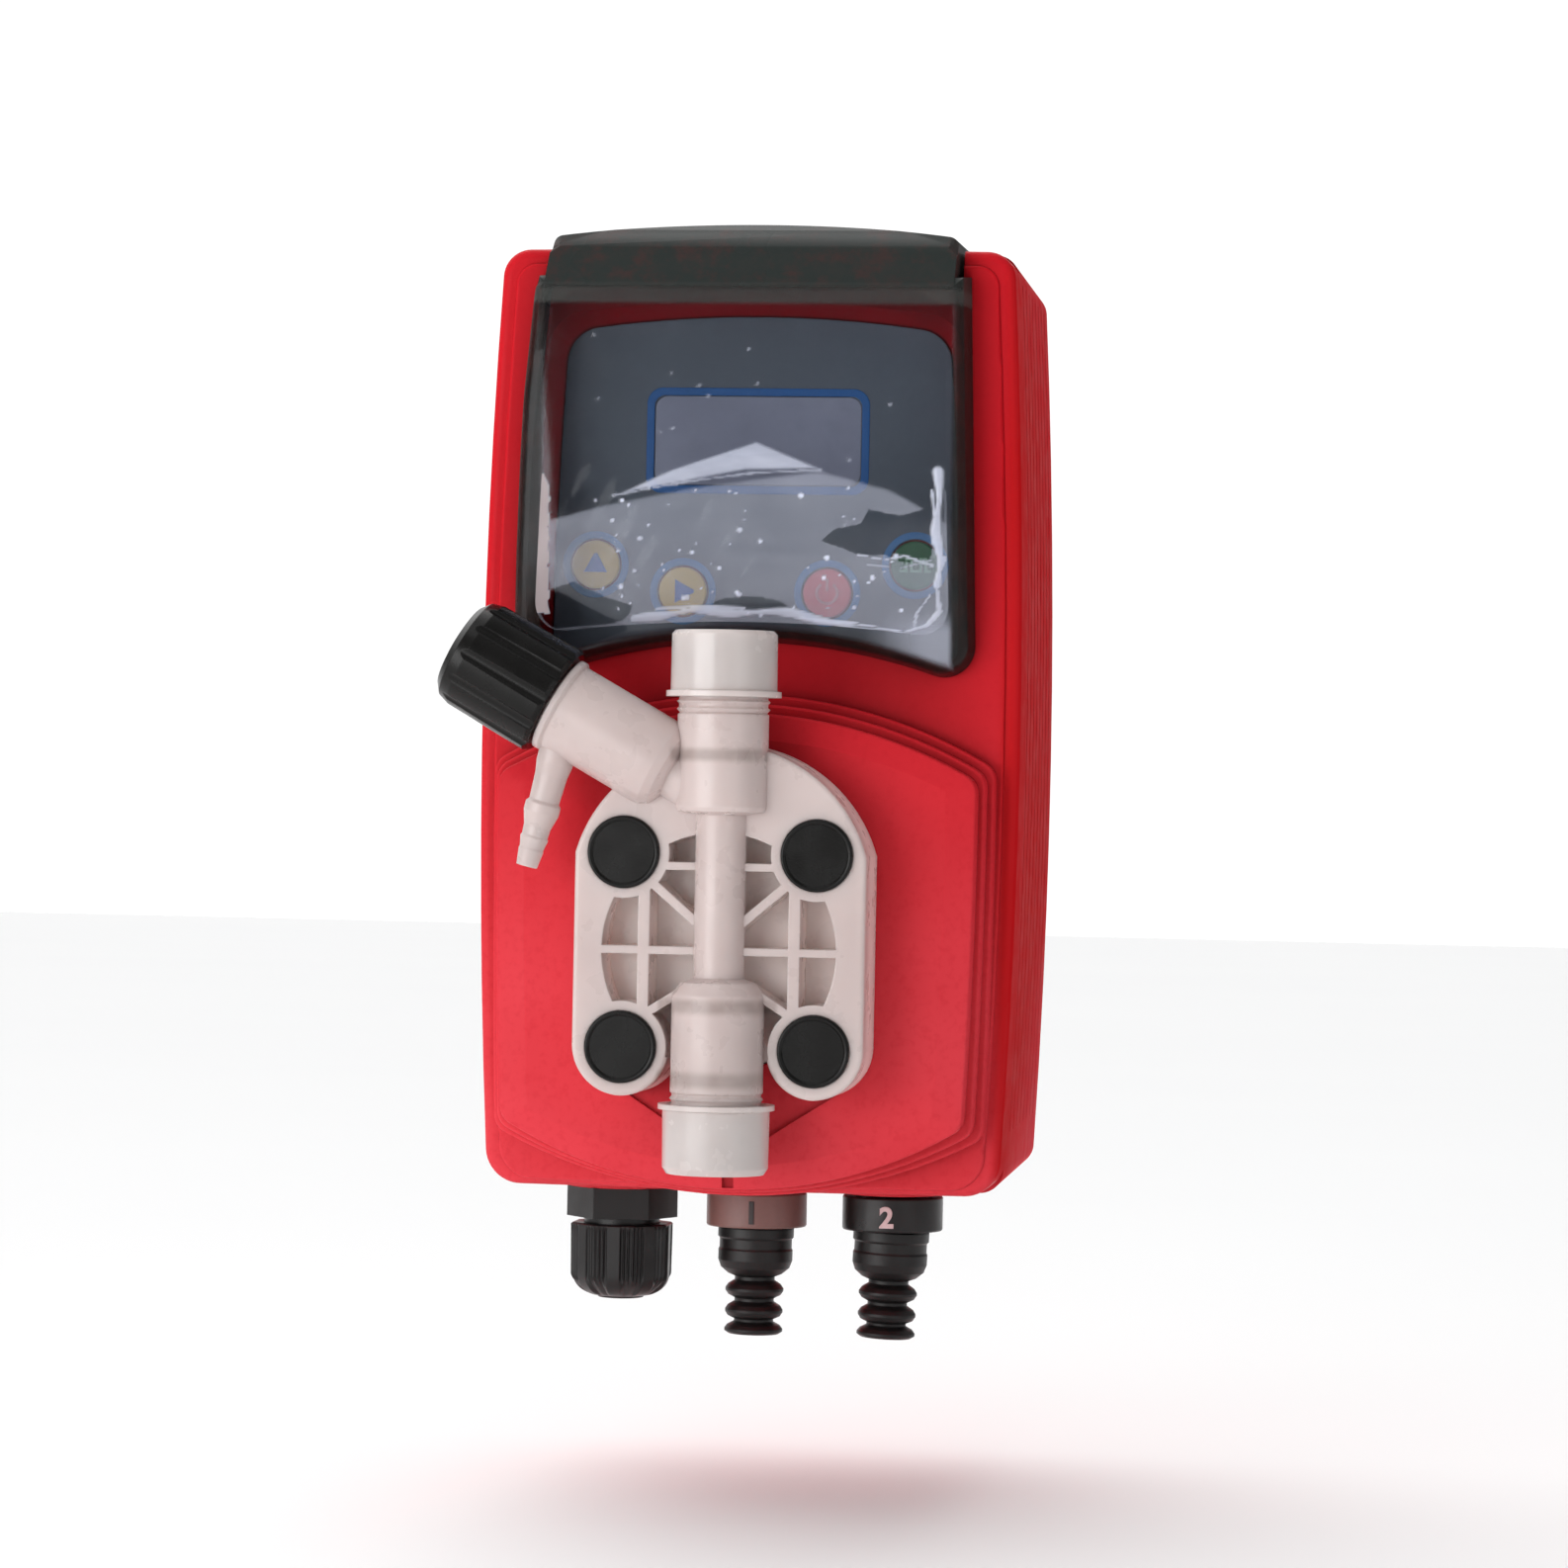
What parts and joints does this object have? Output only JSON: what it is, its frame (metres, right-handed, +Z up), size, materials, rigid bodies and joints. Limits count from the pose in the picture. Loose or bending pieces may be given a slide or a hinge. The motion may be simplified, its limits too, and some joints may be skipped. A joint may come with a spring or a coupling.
{
  "type": "diaphragm metering pump",
  "caption": "Wall-mounted diaphragm dosing pump: ribbed case, flip-up smoked cover over a keypad, front pump head with valve column, bleed valve and hose tail, sockets below.",
  "frame": {"origin": "centre of the wall-mount hole pattern, on the back face", "axes": "+X right seen from the front, +Z up, the front looks along -Y and the wall is at Y = 0"},
  "size_m": [0.1074, 0.138, 0.2173],
  "materials": {
    "red_case": "fine moulded texture",
    "smoked_clear": "polished smoked polycarbonate",
    "keypad_film": "satin printed film",
    "display_glass": "clear pane",
    "key_yellow": "satin",
    "key_red": "satin",
    "key_green": "satin",
    "white_head": "translucent natural polypropylene",
    "white_cap": "translucent polyethylene",
    "black_plastic": "satin",
    "black_rubber": "matt",
    "diaphragm_rubber": "PTFE-faced",
    "grey_ring": "satin",
    "steel_screws": "plain",
    "yoke_steel": "zinc plated",
    "copper": "enamelled wire",
    "brass": "turned",
    "nickel": "nickel plated",
    "circuit_board": "solder mask",
    "ceramic": "polished ceramic"
  },
  "bodies": {
    "case": {"front_housing": "red_case", "rear_housing": "red_case", "housing_gasket": "black_rubber", "housing_screws": "steel_screws", "wall_inserts": "brass", "cover_hinge_pins": "steel_screws", "keypad_membrane": "keypad_film", "lcd_window": "display_glass", "lcd_module": "black_plastic", "control_pcb": "circuit_board", "key_switches": "black_plastic", "power_pcb": "circuit_board", "solenoid_yoke": "yoke_steel", "coil_bobbin": "black_plastic", "coil_winding": "copper", "guide_bush": "brass", "return_spring": "steel_screws", "head_backplate": "black_plastic", "diaphragm": "diaphragm_rubber", "pump_head": "white_head", "head_screws": "steel_screws", "screw_covers": "black_plastic", "suction_seat": "white_head", "suction_cage": "white_head", "suction_orings": "black_rubber", "suction_insert": "white_head", "discharge_seat": "white_head", "discharge_cage": "white_head", "discharge_oring": "black_rubber", "gland_body": "black_plastic", "gland_locknut": "black_plastic", "input_socket": "nickel", "level_socket": "nickel"},
    "cover": {"display_cover": "smoked_clear"},
    "armature": {"armature": "yoke_steel", "push_rod": "steel_screws", "diaphragm_core": "steel_screws"},
    "key_up": {"key_up": "key_yellow"},
    "key_right": {"key_right": "key_yellow"},
    "key_red": {"key_red": "key_red"},
    "key_green": {"key_green": "key_green"},
    "suction_ball": {"suction_ball": "ceramic"},
    "discharge_ball": {"discharge_ball": "ceramic"},
    "discharge_cap": {"discharge_cap": "white_cap"},
    "suction_cap": {"suction_cap": "white_cap"},
    "bleed_slider": {"bleed_oring": "black_rubber"},
    "bleed_knob": {"bleed_knob": "black_plastic", "bleed_spindle": "white_head"},
    "gland_seal": {"gland_seal": "black_rubber"},
    "gland_nut": {"gland_nut": "black_plastic"},
    "input_plug": {"input_plug": "nickel", "input_boot": "black_rubber"},
    "input_ring": {"input_ring": "grey_ring"},
    "level_plug": {"level_plug": "nickel", "level_boot": "black_rubber"},
    "level_ring": {"level_ring": "black_plastic"}
  },
  "joints": [
    {"name": "cover_hinge", "type": "hinge", "parent": "case", "child": "cover", "pos_m": [0, -0.06, 0.0893], "axis": [-1, 0, 0], "range_deg": [0, 100]},
    {"name": "armature_stroke", "type": "slide", "parent": "case", "child": "armature", "axis": [0, -1, 0], "range_m": [0, 0.00125], "stiffness_N_per_m": 1500, "springref_m": -0.002, "deforming": ["return_spring", "diaphragm"]},
    {"name": "key_up_press", "type": "slide", "parent": "case", "child": "key_up", "axis": [0, 1, 0], "range_m": [0, 0.0004], "stiffness_N_per_m": 700},
    {"name": "key_right_press", "type": "slide", "parent": "case", "child": "key_right", "axis": [0, 1, 0], "range_m": [0, 0.0004], "stiffness_N_per_m": 700},
    {"name": "key_red_press", "type": "slide", "parent": "case", "child": "key_red", "axis": [0, 1, 0], "range_m": [0, 0.0004], "stiffness_N_per_m": 700},
    {"name": "key_green_press", "type": "slide", "parent": "case", "child": "key_green", "axis": [0, 1, 0], "range_m": [0, 0.0004], "stiffness_N_per_m": 700},
    {"name": "suction_ball_lift", "type": "slide", "parent": "case", "child": "suction_ball", "axis": [0, 0, 1], "range_m": [0, 0.0012]},
    {"name": "discharge_ball_lift", "type": "slide", "parent": "case", "child": "discharge_ball", "axis": [0, 0, 1], "range_m": [0, 0.0012]},
    {"name": "discharge_cap_pull", "type": "slide", "parent": "case", "child": "discharge_cap", "axis": [0, 0, 1], "range_m": [0, 0.018]},
    {"name": "suction_cap_pull", "type": "slide", "parent": "case", "child": "suction_cap", "axis": [0, 0, -1], "range_m": [0, 0.018]},
    {"name": "bleed_travel", "type": "slide", "parent": "case", "child": "bleed_slider", "axis": [-0.8721, 0, 0.4894], "range_m": [0, 0.003]},
    {"name": "bleed_turn", "type": "hinge", "parent": "bleed_slider", "child": "bleed_knob", "pos_m": [-0.03924, -0.127, 0.00602], "axis": [-0.8721, 0, 0.4894], "range_deg": [0, 720]},
    {"name": "gland_travel", "type": "slide", "parent": "case", "child": "gland_seal", "axis": [0, 0, -1], "range_m": [0, 0.003]},
    {"name": "gland_turn", "type": "hinge", "parent": "gland_seal", "child": "gland_nut", "pos_m": [-0.027, -0.072, -0.107], "axis": [0, 0, -1], "range_deg": [0, 720]},
    {"name": "input_plug_pull", "type": "slide", "parent": "case", "child": "input_plug", "axis": [0, 0, -1], "range_m": [0, 0.012]},
    {"name": "input_ring_turn", "type": "hinge", "parent": "input_plug", "child": "input_ring", "pos_m": [0, -0.072, -0.097], "axis": [0, 0, -1], "range_deg": [0, 90]},
    {"name": "level_plug_pull", "type": "slide", "parent": "case", "child": "level_plug", "axis": [0, 0, -1], "range_m": [0, 0.012]},
    {"name": "level_ring_turn", "type": "hinge", "parent": "level_plug", "child": "level_ring", "pos_m": [0.0271, -0.072, -0.097], "axis": [0, 0, -1], "range_deg": [0, 90]}
  ],
  "couplings": [
    {"joint": "bleed_travel", "follows": "bleed_turn", "m_per_rad": 0.00023873},
    {"joint": "gland_travel", "follows": "gland_turn", "m_per_rad": 0.00023873}
  ]
}
